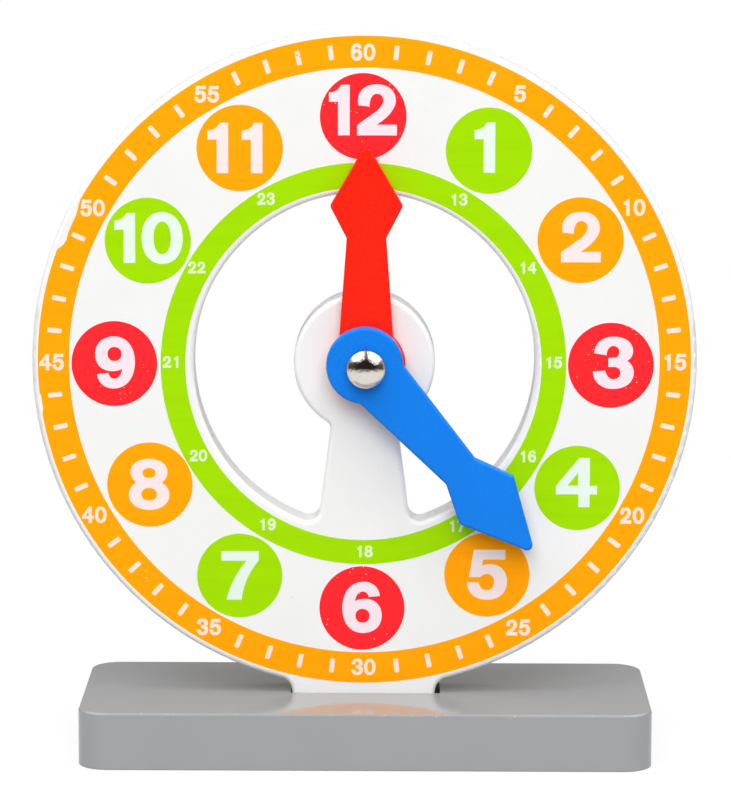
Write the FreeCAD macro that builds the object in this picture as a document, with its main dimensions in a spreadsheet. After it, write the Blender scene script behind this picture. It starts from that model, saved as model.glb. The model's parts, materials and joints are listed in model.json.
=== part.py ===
# Teaching clock: a ring dial cut from one board, plugged into a slotted base board,
# with two arrow hands that turn by hand on one domed bolt.
#
# Millimetres, +Z up. The origin is on the surface the clock stands on, below the
# centre of the ring and half way through its board. The face looks along -Y, so a
# hand's clockwise turn is a positive turn about +Y.

import FreeCAD, Part
import Sketcher
import math
import os

Vector = FreeCAD.Vector

doc = FreeCAD.newDocument("TeachingClock")

# ---------------------------------------------------------------- driving sizes

SIZES = (
    # base board
    ("base_width", 189.0, "left to right"),
    ("base_depth", 80.0, "front to back"),
    ("base_height", 19.0, "board thickness"),
    ("base_corner", 10.0, "radius of the four upright corners"),
    ("base_top_round", 1.0, "radius of the top edge"),
    ("base_bottom_round", 0.4, "radius of the bottom edge"),
    ("slot_fit", 0.15, "room between the dial board and each long wall of the slot"),
    ("slot_left_gap", 0.4, "gap at the slot's left end, where the dial is pushed to"),
    ("slot_right_gap", 1.7, "gap at the slot's right end"),
    # dial board
    ("board_thickness", 16.0, "front to back"),
    ("board_round", 1.6, "radius along the front and back edges"),
    ("ring_radius", 110.0, "outside of the ring"),
    ("window_radius", 56.6, "inside of the ring"),
    ("hub_radius", 23.4, "disc that carries the hands"),
    ("stem_top_width", 22.6, "stem's width level with the hub's lowest point"),
    ("stem_foot_width", 31.0, "stem's width level with the window's lowest point"),
    ("stem_top_round", 3.0, "inside corners between hub and stem"),
    ("stem_foot_round", 4.0, "inside corners between stem and ring"),
    ("foot_width", 47.8, "foot and tenon"),
    ("foot_round", 5.0, "inside corners between ring and foot"),
    ("ring_lift", 1.5, "ring's lowest point above the base"),
    ("tenon_depth", 14.0, "how deep the foot plugs into the base"),
    ("tenon_corner", 3.0, "lower corners of the tenon"),
    # hands
    ("hand_thickness", 4.8, "both hands"),
    ("hand_round", 1.0, "radius along the front and back edges"),
    ("hand_junction_round", 1.5, "inside corners between boss and shank"),
    ("hand_neck_round", 1.5, "inside corners behind the arrowhead"),
    ("hand_barb_round", 1.2, "side corners of the arrowhead"),
    ("hand_tip_round", 1.8, "point of the arrowhead"),
    ("hour_boss_radius", 12.7, "round end of the hour hand"),
    ("hour_boss_side", 0.3, "how far that round end sits to the right of its bore"),
    ("hour_root_width", 19.2, "shank's width if it ran on to the bore"),
    ("hour_neck_width", 13.0, "shank's width behind the arrowhead"),
    ("hour_neck_reach", 42.0, "bore to neck"),
    ("hour_barb_width", 24.0, "arrowhead's width"),
    ("hour_barb_reach", 52.6, "bore to the arrowhead's widest place"),
    ("hour_reach", 71.7, "bore to tip"),
    ("hour_angle", 0.0, "degrees clockwise from twelve, at rest"),
    ("minute_boss_radius", 12.7, "round end of the minute hand"),
    ("minute_boss_back", 0.6, "how far that round end sits behind its bore"),
    ("minute_root_width", 20.3, "shank's width if it ran on to the bore"),
    ("minute_neck_width", 12.8, "shank's width behind the arrowhead"),
    ("minute_neck_reach", 46.6, "bore to neck"),
    ("minute_barb_width", 24.0, "arrowhead's width"),
    ("minute_barb_reach", 59.5, "bore to the arrowhead's widest place"),
    ("minute_reach", 81.5, "bore to tip"),
    ("minute_angle", 137.9, "degrees clockwise from twelve, at rest"),
    # bolt and hardware, from front to back
    ("pivot_side", 0.6, "how far the bolt sits to the right of the ring's centre"),
    ("bolt_radius", 2.5, "shank"),
    ("dome_radius", 6.5, "head"),
    ("dome_height", 7.8, "head, rim and all"),
    ("dome_rim", 3.8, "straight rim below the dome"),
    ("bolt_tail", 1.2, "length that shows behind the lock nut"),
    ("bolt_chamfer", 0.6, "on the end of the shank"),
    ("running_fit", 0.05, "room round the bolt in a hand that turns on it"),
    ("bolt_fit", 0.1, "room round the bolt in the board and the washers"),
    ("front_washer_radius", 8.0, "both washers beside the hour hand"),
    ("front_washer_thickness", 0.5, "both washers beside the hour hand"),
    ("back_washer_radius", 7.0, "washer on the back of the hub"),
    ("back_washer_thickness", 1.0, "washer on the back of the hub"),
    ("spring_radius", 5.4, "disc spring"),
    ("spring_thickness", 0.6, "disc spring's metal"),
    ("spring_cone", 0.4, "height of the disc spring's cone"),
    ("nut_width", 8.0, "across the flats"),
    ("nut_height", 3.8, "hexagon"),
    ("nut_chamfer", 0.7, "how far the chamfer runs down the hexagon's corners"),
    ("collar_radius", 3.6, "round collar behind the hexagon"),
    ("collar_height", 1.3, "round collar behind the hexagon"),
    ("insert_radius", 3.1, "nylon ring in the collar"),
    ("insert_height", 1.0, "nylon ring in the collar"),
)

sheet = doc.addObject("Spreadsheet::Sheet", "Sizes")
for row, (alias, millimetres, note) in enumerate(SIZES, start=1):
    sheet.set(f"A{row}", alias)
    sheet.set(f"B{row}", str(millimetres))
    sheet.setAlias(f"B{row}", alias)
    sheet.set(f"C{row}", note)
doc.recompute()

# Places that follow from those sizes. Distances along the bolt count from the
# middle of the dial board: forward as far as the dome, then backward to the tail.
AXIS_HEIGHT = "Sizes.base_height + Sizes.ring_lift + Sizes.ring_radius"
BASE_SHIFT = "(Sizes.slot_right_gap - Sizes.slot_left_gap) / 2"
HUB_FRONT = "Sizes.board_thickness / 2"
HOUR_HAND_BACK = HUB_FRONT + " + Sizes.front_washer_thickness"
HAND_WASHER_BACK = HOUR_HAND_BACK + " + Sizes.hand_thickness"
MINUTE_HAND_BACK = HAND_WASHER_BACK + " + Sizes.front_washer_thickness"
DOME_BACK = MINUTE_HAND_BACK + " + Sizes.hand_thickness"
HUB_BACK = "Sizes.board_thickness / 2"
SPRING_FRONT = HUB_BACK + " + Sizes.back_washer_thickness"
NUT_FRONT = SPRING_FRONT + " + Sizes.spring_thickness + Sizes.spring_cone"
COLLAR_BACK = NUT_FRONT + " + Sizes.nut_height + Sizes.collar_height"
SHANK_LENGTH = DOME_BACK + " + " + COLLAR_BACK + " + Sizes.bolt_tail"


def number(expression):
    """Worth of an expression over the sheet, in millimetres or degrees."""
    return float(sheet.evalExpression(expression))


# ---------------------------------------------------------------- drawing tools

# Sketcher's numbers for the points of an edge, and for a sketch's axes and origin.
START, END, CENTRE = range(1, 4)
H_AXIS, V_AXIS = range(-1, -3, -1)
ORIGIN = (H_AXIS, START)


class Profile:
    """A sketch on one of its body's own planes: geometry, rules, then driving sizes."""

    def __init__(self, body, name, plane="XZ_Plane"):
        self.sketch = body.newObject("Sketcher::SketchObject", name)
        origin_plane = [f for f in body.Origin.OriginFeatures if f.Role == plane][0]
        self.sketch.AttachmentSupport = [(origin_plane, "")]
        self.sketch.MapMode = "FlatFace"

    def line(self, start, end):
        segment = Part.LineSegment(Vector(*start, 0), Vector(*end, 0))
        return self.sketch.addGeometry(segment, False)

    def arc(self, centre, radius, first, last):
        """Arc from angle first to angle last, in degrees, anticlockwise."""
        circle = Part.Circle(Vector(*centre, 0), Vector(0, 0, 1), radius)
        curve = Part.ArcOfCircle(circle, math.radians(first), math.radians(last))
        return self.sketch.addGeometry(curve, False)

    def circle(self, centre, radius):
        curve = Part.Circle(Vector(*centre, 0), Vector(0, 0, 1), radius)
        return self.sketch.addGeometry(curve, False)

    def point(self, x, y):
        """Construction point, for a size that is measured off the outline."""
        return self.sketch.addGeometry(Part.Point(Vector(x, y, 0)), True)

    def rule(self, kind, *where):
        self.sketch.addConstraint(Sketcher.Constraint(kind, *where))

    def chain(self, kind, *joins):
        """The same rule at several joins, each (edge, end, edge, end)."""
        for join in joins:
            self.rule(kind, *join)

    def size(self, kind, where, expression):
        """A dimension tied to the sheet."""
        rule = Sketcher.Constraint(kind, *where, number(expression))
        index = self.sketch.addConstraint(rule)
        self.sketch.setExpression(f"Constraints[{index}]", expression)

    def coordinate(self, kind, where, axis, expression):
        """Drives one coordinate of a point, which may be on either side of zero."""
        place = number(expression)
        if abs(place) < 1e-9:
            self.rule("PointOnObject", *where, axis)
        elif place > 0:
            self.size(kind, (*ORIGIN, *where), expression)
        else:
            self.size(kind, (*where, *ORIGIN), f"-({expression})")

    def polygon(self, corners):
        """Closed loop of straight edges; each corner is a pair of expressions."""
        points = [(number(x), number(y)) for x, y in corners]
        edges = [self.line(a, b) for a, b in zip(points, points[1:] + points[:1])]
        for first, second in zip(edges, edges[1:] + edges[:1]):
            self.rule("Coincident", first, END, second, START)
        for edge, (x, y) in zip(edges, corners):
            self.coordinate("DistanceX", (edge, START), V_AXIS, x)
            self.coordinate("DistanceY", (edge, START), H_AXIS, y)
        return edges

    def rectangle(self, half_width, half_depth):
        """Rectangle about the origin."""
        self.polygon([(f"-({half_width})", f"-({half_depth})"), (half_width, f"-({half_depth})"),
                      (half_width, half_depth), (f"-({half_width})", half_depth)])


def new_body(label, *expressions):
    """Empty body placed in the clock; expressions are (property, expression) pairs."""
    body = doc.addObject("PartDesign::Body", label)
    body.Label = label
    for target, expression in expressions:
        body.setExpression(target, expression)
    return body


def on_the_bolt(label, along, angle=None):
    """Body on the bolt's axis; along is its place in Y, angle its turn clockwise."""
    body = new_body(label)
    body.Placement = FreeCAD.Placement(Vector(), FreeCAD.Rotation(Vector(0, 1, 0), 1))
    body.setExpression("Placement.Base.x", "Sizes.pivot_side")
    body.setExpression("Placement.Base.y", along)
    body.setExpression("Placement.Base.z", AXIS_HEIGHT)
    body.setExpression("Placement.Rotation.Angle", angle or "0")
    return body


def pad(body, profile, length, symmetric=False):
    feature = body.newObject("PartDesign::Pad", profile.sketch.Name + "_pad")
    feature.Profile = profile.sketch
    feature.SideType = "Symmetric" if symmetric else "One side"
    feature.setExpression("Length", length)
    doc.recompute()
    return feature


def turn(body, profile, kind="PartDesign::Revolution"):
    """Full turn of a profile drawn on XY_Plane about the Y axis."""
    feature = body.newObject(kind, profile.sketch.Name + "_turn")
    feature.Profile = profile.sketch
    feature.ReferenceAxis = (profile.sketch, ["V_Axis"])
    feature.Angle = 360
    if kind == "PartDesign::Groove":
        return cut(body, feature)
    doc.recompute()
    return feature


def turned(body, name, corners, kind="PartDesign::Revolution"):
    """Turned solid or groove; its profile's corners are (radius, along) expressions."""
    profile = Profile(body, name, "XY_Plane")
    profile.polygon(corners)
    return turn(body, profile, kind)


def cut(body, feature):
    """Finishes a pocket or groove and makes sure that it took material away."""
    before = feature.BaseFeature.Shape.Volume
    doc.recompute()
    if not feature.Shape.Volume < before - 1e-6:
        raise ValueError(f"{feature.Name} removes nothing from {body.Label}")
    return feature


def round_edges(body, feature, name, radius, wanted):
    """Fillet on every edge of a feature that wanted(edge) picks."""
    edges = [f"Edge{i}" for i, edge in enumerate(feature.Shape.Edges, start=1) if wanted(edge)]
    if not edges:
        raise ValueError(f"{name} finds no edge on {body.Label}")
    fillet = body.newObject("PartDesign::Fillet", name)
    fillet.Base = (feature, edges)
    fillet.setExpression("Radius", radius)
    doc.recompute()
    return fillet


def runs_along(edge, direction):
    """Whether an edge is straight and parallel to a direction."""
    if edge.Curve.TypeId != "Part::GeomLine":
        return False
    return edge.tangentAt(edge.FirstParameter).cross(direction).Length < 1e-6


def lies_at(edge, axis, place):
    """Whether a whole edge lies in the plane X, Y or Z = place."""
    box = edge.BoundBox
    low, high = getattr(box, axis + "Min"), getattr(box, axis + "Max")
    return abs(low - place) < 1e-4 and abs(high - place) < 1e-4


def is_bore(edge):
    """Whether an edge is the rim of a hole for the bolt."""
    limit = number("Sizes.bolt_radius + 2 * Sizes.bolt_fit")
    return edge.Curve.TypeId == "Part::GeomCircle" and edge.Curve.Radius < limit


# ---------------------------------------------------------------- base

def base_board():
    """Board with a blind slot that the dial's tenon drops into."""
    body = new_body("base", ("Placement.Base.x", BASE_SHIFT))
    half_depth = "Sizes.base_depth / 2"
    half_width = "Sizes.base_width / 2"
    outline = Profile(body, "base_outline", "XY_Plane")
    outline.rectangle(half_width, half_depth)
    board = pad(body, outline, "Sizes.base_height")
    upright = Vector(0, 0, 1)
    board = round_edges(body, board, "base_corners", "Sizes.base_corner",
                        lambda edge: runs_along(edge, upright))
    top = number("Sizes.base_height")
    board = round_edges(body, board, "base_top", "Sizes.base_top_round",
                        lambda edge: lies_at(edge, "Z", top))
    board = round_edges(body, board, "base_bottom", "Sizes.base_bottom_round",
                        lambda edge: lies_at(edge, "Z", 0))

    half_slot = "(Sizes.foot_width + Sizes.slot_left_gap + Sizes.slot_right_gap) / 2"
    half_gap = "Sizes.board_thickness / 2 + Sizes.slot_fit"
    slot_outline = Profile(body, "slot_outline", "XY_Plane")
    slot_outline.rectangle(half_slot, half_gap)
    slot_outline.sketch.setExpression("AttachmentOffset.Base.z", "Sizes.base_height")
    slot = body.newObject("PartDesign::Pocket", "slot")
    slot.Profile = slot_outline.sketch
    slot.setExpression("Length", "Sizes.tenon_depth")
    return cut(body, slot)


# ---------------------------------------------------------------- dial board

def ring_and_foot(body):
    """Outer outline: the ring's circle running through two coves into the foot."""
    ring_radius = number("Sizes.ring_radius")
    cove = number("Sizes.foot_round")
    half_foot = number("Sizes.foot_width") / 2
    bottom_y = -number("Sizes.ring_radius + Sizes.ring_lift + Sizes.tenon_depth")
    cove_x = half_foot + cove
    cove_y = -math.sqrt((ring_radius + cove) ** 2 - cove_x ** 2)
    slope = math.degrees(math.atan2(-cove_y, cove_x))

    outline = Profile(body, "board_outline")
    ring = outline.arc((0, 0), ring_radius, -slope, 180 + slope)
    left_cove = outline.arc((-cove_x, cove_y), cove, 0, slope)
    left = outline.line((-half_foot, cove_y), (-half_foot, bottom_y))
    bottom = outline.line((-half_foot, bottom_y), (half_foot, bottom_y))
    right = outline.line((half_foot, bottom_y), (half_foot, cove_y))
    right_cove = outline.arc((cove_x, cove_y), cove, 180 - slope, 180)

    outline.rule("Coincident", ring, CENTRE, *ORIGIN)
    outline.chain("Tangent",
                  (ring, END, left_cove, END), (left_cove, START, left, START),
                  (right, END, right_cove, END), (right_cove, START, ring, START))
    outline.chain("Coincident", (left, END, bottom, START), (bottom, END, right, START))
    outline.chain("Vertical", (left,), (right,))
    outline.rule("Symmetric", bottom, START, bottom, END, V_AXIS)
    outline.rule("Equal", left_cove, right_cove)
    outline.size("Radius", (ring,), "Sizes.ring_radius")
    outline.size("Radius", (left_cove,), "Sizes.foot_round")
    outline.size("DistanceX", (bottom, START, bottom, END), "Sizes.foot_width")
    outline.size("DistanceY", (bottom, START, *ORIGIN),
                 "Sizes.ring_radius + Sizes.ring_lift + Sizes.tenon_depth")
    return outline


def cove_centre(start, along, across, radius, reach):
    """Centre of a cove: radius away from a line and reach away from the origin.

    The line runs from start in the direction along; across points from it to the
    cove. Of the two such places this is the one further along the line.
    """
    offset = start + across * radius
    forward = offset.dot(along)
    travel = -forward + math.sqrt(forward ** 2 - offset.dot(offset) + reach ** 2)
    return offset + along * travel


def window(body):
    """The C-shaped opening between hub, stem and ring, and the bolt's bore."""
    window_radius, hub_radius = number("Sizes.window_radius"), number("Sizes.hub_radius")
    top_cove, foot_cove = number("Sizes.stem_top_round"), number("Sizes.stem_foot_round")
    top = Vector(number("Sizes.stem_top_width") / 2, -hub_radius, 0)
    foot = Vector(number("Sizes.stem_foot_width") / 2, -window_radius, 0)
    along = (foot - top).normalize()
    across = Vector(-along.y, along.x, 0)
    lean = math.degrees(math.atan2(across.y, across.x))

    upper = cove_centre(top, along, across, top_cove, hub_radius + top_cove)
    lower = cove_centre(top, along, across, foot_cove, window_radius - foot_cove)
    upper_angle = math.degrees(math.atan2(upper.y, upper.x))
    lower_angle = math.degrees(math.atan2(lower.y, lower.x))
    side_top = upper - across * top_cove
    side_foot = lower - across * foot_cove

    opening = Profile(body, "window_outline")
    rim = opening.arc((0, 0), window_radius, lower_angle, 180 - lower_angle)
    hub = opening.arc((0, 0), hub_radius, upper_angle, 180 - upper_angle)
    right = opening.line((side_top.x, side_top.y), (side_foot.x, side_foot.y))
    left = opening.line((-side_top.x, side_top.y), (-side_foot.x, side_foot.y))
    right_upper = opening.arc((upper.x, upper.y), top_cove, 180 + upper_angle, 180 + lean)
    left_upper = opening.arc((-upper.x, upper.y), top_cove, -lean, -upper_angle)
    right_lower = opening.arc((lower.x, lower.y), foot_cove, 180 + lean, 360 + lower_angle)
    left_lower = opening.arc((-lower.x, lower.y), foot_cove, -180 - lower_angle, -lean)
    top_mark = opening.point(top.x, top.y)
    foot_mark = opening.point(foot.x, foot.y)

    opening.chain("Coincident", (rim, CENTRE, *ORIGIN), (hub, CENTRE, *ORIGIN))
    opening.chain("Tangent",
                  (rim, START, right_lower, END), (right_lower, START, right, END),
                  (right, START, right_upper, END), (right_upper, START, hub, START),
                  (hub, END, left_upper, END), (left_upper, START, left, START),
                  (left, END, left_lower, END), (left_lower, START, rim, END))
    opening.rule("Symmetric", left, START, right, START, V_AXIS)
    opening.chain("Equal", (left_upper, right_upper), (left_lower, right_lower))
    opening.chain("PointOnObject", (top_mark, START, right), (foot_mark, START, right))
    opening.size("Radius", (rim,), "Sizes.window_radius")
    opening.size("Radius", (hub,), "Sizes.hub_radius")
    opening.size("Radius", (right_upper,), "Sizes.stem_top_round")
    opening.size("Radius", (right_lower,), "Sizes.stem_foot_round")
    opening.size("DistanceX", (*ORIGIN, top_mark, START), "Sizes.stem_top_width / 2")
    opening.size("DistanceY", (top_mark, START, *ORIGIN), "Sizes.hub_radius")
    opening.size("DistanceX", (*ORIGIN, foot_mark, START), "Sizes.stem_foot_width / 2")
    opening.size("DistanceY", (foot_mark, START, *ORIGIN), "Sizes.window_radius")

    shank = "Sizes.bolt_radius + Sizes.bolt_fit"
    bore = opening.circle((number("Sizes.pivot_side"), 0), number(shank))
    opening.rule("PointOnObject", bore, CENTRE, H_AXIS)
    opening.size("DistanceX", (*ORIGIN, bore, CENTRE), "Sizes.pivot_side")
    opening.size("Radius", (bore,), shank)
    return opening


def dial_board():
    """Ring, hub, stem, foot and tenon, cut from one board with all edges rounded."""
    body = new_body("dial", ("Placement.Base.z", AXIS_HEIGHT))
    board = pad(body, ring_and_foot(body), "Sizes.board_thickness", symmetric=True)
    opening = body.newObject("PartDesign::Pocket", "window")
    opening.Profile = window(body).sketch
    opening.SideType = "Symmetric"
    opening.setExpression("Length", "2 * Sizes.board_thickness")
    board = cut(body, opening)

    through = Vector(0, 1, 0)
    tenon_end = -number("Sizes.ring_radius + Sizes.ring_lift + Sizes.tenon_depth")
    board = round_edges(body, board, "tenon_corners", "Sizes.tenon_corner",
                        lambda edge: runs_along(edge, through) and lies_at(edge, "Z", tenon_end))
    face = number("Sizes.board_thickness") / 2
    return round_edges(body, board, "board_edges", "Sizes.board_round",
                       lambda edge: not is_bore(edge)
                       and (lies_at(edge, "Y", face) or lies_at(edge, "Y", -face)))


# ---------------------------------------------------------------- hands

def meet_circle(start, end, centre, radius):
    """Where the line from start to end leaves a circle that start lies inside."""
    along = (end - start).normalize()
    offset = start - centre
    forward = offset.dot(along)
    return start + along * (-forward + math.sqrt(forward ** 2 - offset.dot(offset) + radius ** 2))


def arrow_outline(body, prefix, boss_x, boss_y):
    """Arrow pointing up; its round boss is centred at (boss_x, boss_y) from the bore."""
    def own(name):
        return f"Sizes.{prefix}_{name}"

    boss_radius, tip_round = number(own("boss_radius")), number("Sizes.hand_tip_round")
    boss_centre = Vector(number(boss_x), number(boss_y), 0)
    root = Vector(number(own("root_width")) / 2, 0, 0)
    neck = Vector(number(own("neck_width")) / 2, number(own("neck_reach")), 0)
    barb = Vector(number(own("barb_width")) / 2, number(own("barb_reach")), 0)
    tip_y = number(own("reach")) - tip_round

    def mirrored(point):
        return Vector(-point.x, point.y, 0)

    right_join = meet_circle(root, neck, boss_centre, boss_radius)
    left_join = meet_circle(mirrored(root), mirrored(neck), boss_centre, boss_radius)
    first = left_join - boss_centre
    last = right_join - boss_centre
    # The flank leaves the barb as the tangent to the tip's circle.
    to_tip = Vector(0, tip_y, 0) - barb
    swing = math.degrees(math.asin(tip_round / to_tip.Length))
    normal = math.degrees(math.atan2(to_tip.y, to_tip.x)) - 90 - swing
    touch = Vector(0, tip_y, 0) + Vector(math.cos(math.radians(normal)),
                                         math.sin(math.radians(normal)), 0) * tip_round

    outline = Profile(body, prefix + "_outline")
    boss = outline.arc((boss_centre.x, boss_centre.y), boss_radius,
                       math.degrees(math.atan2(first.y, first.x)),
                       360 + math.degrees(math.atan2(last.y, last.x)))
    corners = [right_join, neck, barb, touch]
    right = [outline.line((a.x, a.y), (b.x, b.y)) for a, b in zip(corners, corners[1:])]
    tip = outline.arc((0, tip_y), tip_round, normal, 180 - normal)
    corners = [mirrored(touch), mirrored(barb), mirrored(neck), left_join]
    left = [outline.line((a.x, a.y), (b.x, b.y)) for a, b in zip(corners, corners[1:])]
    right_root = outline.point(root.x, 0)
    left_root = outline.point(-root.x, 0)
    bore = outline.circle((0, 0), number("Sizes.bolt_radius + Sizes.running_fit"))

    outline.chain("Coincident",
                  (boss, END, right[0], START), (right[0], END, right[1], START),
                  (right[1], END, right[2], START), (left[0], END, left[1], START),
                  (left[1], END, left[2], START), (left[2], END, boss, START),
                  (bore, CENTRE, *ORIGIN))
    outline.chain("Tangent", (right[2], END, tip, START), (tip, END, left[0], START))
    outline.chain("Symmetric",
                  (left[2], START, right[0], END, V_AXIS),
                  (left[1], START, right[1], END, V_AXIS),
                  (left_root, START, right_root, START, V_AXIS))
    outline.chain("PointOnObject",
                  (tip, CENTRE, V_AXIS), (right_root, START, H_AXIS),
                  (right_root, START, right[0]), (left_root, START, left[2]))
    outline.coordinate("DistanceX", (boss, CENTRE), V_AXIS, boss_x)
    outline.coordinate("DistanceY", (boss, CENTRE), H_AXIS, boss_y)
    outline.size("Radius", (boss,), own("boss_radius"))
    outline.size("Radius", (tip,), "Sizes.hand_tip_round")
    outline.size("DistanceY", (*ORIGIN, tip, CENTRE), own("reach") + " - Sizes.hand_tip_round")
    outline.size("DistanceX", (*ORIGIN, right_root, START), own("root_width") + " / 2")
    outline.size("DistanceX", (*ORIGIN, right[0], END), own("neck_width") + " / 2")
    outline.size("DistanceY", (*ORIGIN, right[0], END), own("neck_reach"))
    outline.size("DistanceX", (*ORIGIN, right[1], END), own("barb_width") + " / 2")
    outline.size("DistanceY", (*ORIGIN, right[1], END), own("barb_reach"))
    outline.size("Radius", (bore,), "Sizes.bolt_radius + Sizes.running_fit")
    return outline


def arrow_hand(prefix, back, boss_x="0", boss_y="0"):
    """Flat arrow with rounded edges; back is how far its back face lies forward."""
    body = on_the_bolt(prefix + "_hand", f"-({back})", f"Sizes.{prefix}_angle")
    hand = pad(body, arrow_outline(body, prefix, boss_x, boss_y), "Sizes.hand_thickness")

    through = Vector(0, 1, 0)
    boss = number(f"Sizes.{prefix}_boss_radius")
    neck = number(f"Sizes.{prefix}_neck_reach")
    barb = number(f"Sizes.{prefix}_barb_reach")
    for name, radius, low, high in (
            ("junction", "Sizes.hand_junction_round", 0, boss),
            ("neck", "Sizes.hand_neck_round", neck - 1e-3, neck + 1e-3),
            ("barbs", "Sizes.hand_barb_round", barb - 1e-3, barb + 1e-3)):
        hand = round_edges(body, hand, f"{prefix}_{name}", radius,
                           lambda edge: runs_along(edge, through)
                           and low < edge.CenterOfMass.z < high)
    thickness = number("Sizes.hand_thickness")
    return round_edges(body, hand, prefix + "_edges", "Sizes.hand_round",
                       lambda edge: not is_bore(edge)
                       and (lies_at(edge, "Y", 0) or lies_at(edge, "Y", -thickness)))


# ---------------------------------------------------------------- bolt and hardware

def pivot_bolt():
    """Polished dome over a plain shank; the dome faces -Y."""
    body = on_the_bolt("pivot_bolt", f"-({DOME_BACK})")
    dome_radius, rise = number("Sizes.dome_radius"), number("Sizes.dome_height - Sizes.dome_rim")
    sphere = (dome_radius ** 2 + rise ** 2) / (2 * rise)
    centre_y = sphere - number("Sizes.dome_height")
    rim_angle = math.degrees(math.atan2(-number("Sizes.dome_rim") - centre_y, dome_radius))

    profile = Profile(body, "bolt_profile", "XY_Plane")
    shank, chamfer = number("Sizes.bolt_radius"), number("Sizes.bolt_chamfer")
    length, rim = number(SHANK_LENGTH), number("Sizes.dome_rim")
    dome = profile.arc((0, centre_y), sphere, -90, rim_angle)
    corners = [(dome_radius, -rim), (dome_radius, 0), (shank, 0), (shank, length - chamfer),
               (shank - chamfer, length), (0, length), (0, -number("Sizes.dome_height"))]
    edges = [profile.line(a, b) for a, b in zip(corners, corners[1:])]
    rim_line, under_head, side, bevel, end, spine = edges

    profile.rule("Coincident", dome, END, rim_line, START)
    for first, second in zip(edges, edges[1:]):
        profile.rule("Coincident", first, END, second, START)
    profile.rule("Coincident", spine, END, dome, START)
    profile.chain("Vertical", (rim_line,), (side,))
    profile.chain("Horizontal", (end,))
    profile.chain("PointOnObject",
                  (dome, CENTRE, V_AXIS), (spine, START, V_AXIS), (spine, END, V_AXIS),
                  (under_head, START, H_AXIS), (under_head, END, H_AXIS))
    profile.size("DistanceX", (*ORIGIN, rim_line, END), "Sizes.dome_radius")
    profile.size("DistanceY", (rim_line, START, rim_line, END), "Sizes.dome_rim")
    profile.size("DistanceY", (spine, END, *ORIGIN), "Sizes.dome_height")
    profile.size("DistanceX", (*ORIGIN, side, START), "Sizes.bolt_radius")
    profile.size("DistanceX", (bevel, END, bevel, START), "Sizes.bolt_chamfer")
    profile.size("DistanceY", (bevel, START, bevel, END), "Sizes.bolt_chamfer")
    profile.size("DistanceY", (*ORIGIN, end, START), SHANK_LENGTH)
    return turn(body, profile)


def flat_washer(label, along, radius, thickness):
    """Plain washer; along is the place of its front face."""
    body = on_the_bolt(label, along)
    bore = "Sizes.bolt_radius + Sizes.bolt_fit"
    turned(body, label + "_profile",
           [(bore, "0"), (radius, "0"), (radius, thickness), (bore, thickness)])


def spring_washer():
    """Disc spring: its outer edge stands on the back washer, its inner edge on the nut."""
    body = on_the_bolt("spring_washer", SPRING_FRONT)
    bore = "Sizes.bolt_radius + Sizes.bolt_fit"
    outer, cone = "Sizes.spring_radius", "Sizes.spring_cone"
    metal = "Sizes.spring_thickness"
    turned(body, "spring_profile",
           [(bore, cone), (outer, "0"), (outer, metal), (bore, f"{cone} + {metal}")])


def lock_nut():
    """Hexagon with its front corners chamfered, and a collar that holds the insert."""
    body = on_the_bolt("lock_nut", NUT_FRONT)
    circumradius = "(Sizes.nut_width / 2 / cos(30 deg))"
    hexagon = Profile(body, "nut_outline")
    hexagon.polygon([(f"{circumradius} * cos({corner} deg)", f"{circumradius} * sin({corner} deg)")
                     for corner in range(0, 360, 60)])
    nut = pad(body, hexagon, "Sizes.nut_height")
    nut.Reversed = True
    doc.recompute()

    # A 30 degree cone trims the front corners; its groove starts outside the hexagon.
    start = f"{circumradius} - Sizes.nut_chamfer / tan(30 deg)"
    outside = f"{circumradius} + Sizes.nut_chamfer / tan(30 deg)"
    turned(body, "nut_bevel",
           [(start, "0"), (outside, "-Sizes.nut_chamfer"), (outside, "2 * Sizes.nut_chamfer")],
           kind="PartDesign::Groove")

    collar_back = "Sizes.nut_height + Sizes.collar_height"
    turned(body, "collar_profile",
           [("0", "Sizes.nut_height"), ("Sizes.collar_radius", "Sizes.nut_height"),
            ("Sizes.collar_radius", collar_back), ("0", collar_back)])

    bore = "Sizes.bolt_radius + Sizes.bolt_fit"
    insert_seat = f"{collar_back} - Sizes.insert_height"
    turned(body, "nut_bore",
           [("0", "0"), (bore, "0"), (bore, insert_seat), ("Sizes.insert_radius", insert_seat),
            ("Sizes.insert_radius", collar_back), ("0", collar_back)],
           kind="PartDesign::Groove")


def nut_insert():
    """Nylon ring seated in the lock nut's collar, gripping the bolt."""
    body = on_the_bolt("nut_insert", f"{COLLAR_BACK} - Sizes.insert_height")
    bore = "Sizes.bolt_radius + Sizes.running_fit"
    outer, height = "Sizes.insert_radius", "Sizes.insert_height"
    turned(body, "insert_profile", [(bore, "0"), (outer, "0"), (outer, height), (bore, height)])


# ---------------------------------------------------------------- the clock

base_board()
dial_board()
arrow_hand("hour", HOUR_HAND_BACK, boss_x="Sizes.hour_boss_side")
arrow_hand("minute", MINUTE_HAND_BACK, boss_y="-Sizes.minute_boss_back")
pivot_bolt()
flat_washer("hub_washer", f"-({HOUR_HAND_BACK})",
            "Sizes.front_washer_radius", "Sizes.front_washer_thickness")
flat_washer("hand_washer", f"-({MINUTE_HAND_BACK})",
            "Sizes.front_washer_radius", "Sizes.front_washer_thickness")
flat_washer("back_washer", HUB_BACK,
            "Sizes.back_washer_radius", "Sizes.back_washer_thickness")
spring_washer()
lock_nut()
nut_insert()
doc.recompute()

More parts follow.
